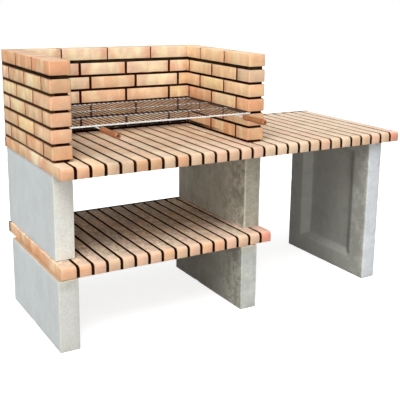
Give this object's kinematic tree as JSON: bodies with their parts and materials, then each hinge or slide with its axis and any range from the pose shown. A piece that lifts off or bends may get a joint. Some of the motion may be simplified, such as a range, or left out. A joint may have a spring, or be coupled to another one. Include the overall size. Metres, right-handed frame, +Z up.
{
  "type": "masonry barbecue",
  "caption": "Brick barbecue on precast concrete legs: a U-shaped wall round a sliding wire grill, a low shelf and a side table topped with brick strips.",
  "frame": {"origin": "bottom centre of the whole object's box, on the ground under the legs", "axes": "+X towards the side table, along the longest side; +Y from the open front to the back wall; +Z up"},
  "size_m": [1.6914, 0.818, 1.1055],
  "materials": {
    "brick": "matt fired clay in cream, tan and peach, with worn edges",
    "mortar": "rough dark mortar, raked back from the faces",
    "concrete": "matt cast concrete, blue-grey, with pores and stains",
    "steel": "dull hot-rolled reinforcing steel, hidden in the slabs",
    "chrome": "bright chromed wire",
    "wood": "satin varnished turned wood, reddish brown"
  },
  "bodies": {
    "masonry": {"hearth_bar_front": "steel", "hearth_bar_rear": "steel", "hearth_mortar_comb": "mortar", "hearth_strip_01": "brick", "hearth_strip_02": "brick", "hearth_strip_03": "brick", "hearth_strip_04": "brick", "hearth_strip_05": "brick", "hearth_strip_06": "brick", "hearth_strip_07": "brick", "hearth_strip_08": "brick", "hearth_strip_09": "brick", "hearth_strip_10": "brick", "hearth_strip_11": "brick", "hearth_strip_12": "brick", "hearth_strip_13": "brick", "hearth_strip_14": "brick", "hearth_strip_15": "brick", "leg_lower_left": "concrete", "leg_lower_right": "concrete", "leg_side_table": "concrete", "leg_upper_left": "concrete", "leg_upper_right": "concrete", "mortar_bed_1": "mortar", "mortar_bed_2": "mortar", "mortar_bed_3": "mortar", "mortar_bed_4": "mortar", "mortar_bed_5": "mortar", "mortar_bed_6": "mortar", "shelf_bar_front": "steel", "shelf_bar_rear": "steel", "shelf_slab": "brick", "side_table_bar_front": "steel", "side_table_bar_rear": "steel", "side_table_slab": "brick", "slab_joint_mortar": "mortar", "wall_back_course_1": "brick", "wall_back_course_2": "brick", "wall_back_course_3": "brick", "wall_back_course_4": "brick", "wall_back_course_5": "brick", "wall_back_course_6": "brick", "wall_left_course_1": "brick", "wall_left_course_2": "brick", "wall_left_course_3": "brick", "wall_left_course_4": "brick", "wall_left_course_5": "brick", "wall_left_course_6": "brick", "wall_right_course_1": "brick", "wall_right_course_2": "brick", "wall_right_course_3": "brick", "wall_right_course_4": "brick", "wall_right_course_5": "brick", "wall_right_course_6": "brick"},
    "grill": {"grill_grid": "chrome", "grill_handle_left": "wood", "grill_handle_right": "wood", "grill_shank_left": "chrome", "grill_shank_right": "chrome"}
  },
  "joints": [
    {"name": "grill_slide", "type": "slide", "parent": "masonry", "child": "grill", "axis": [0, -1, 0], "range_m": [0, 0.38]}
  ]
}
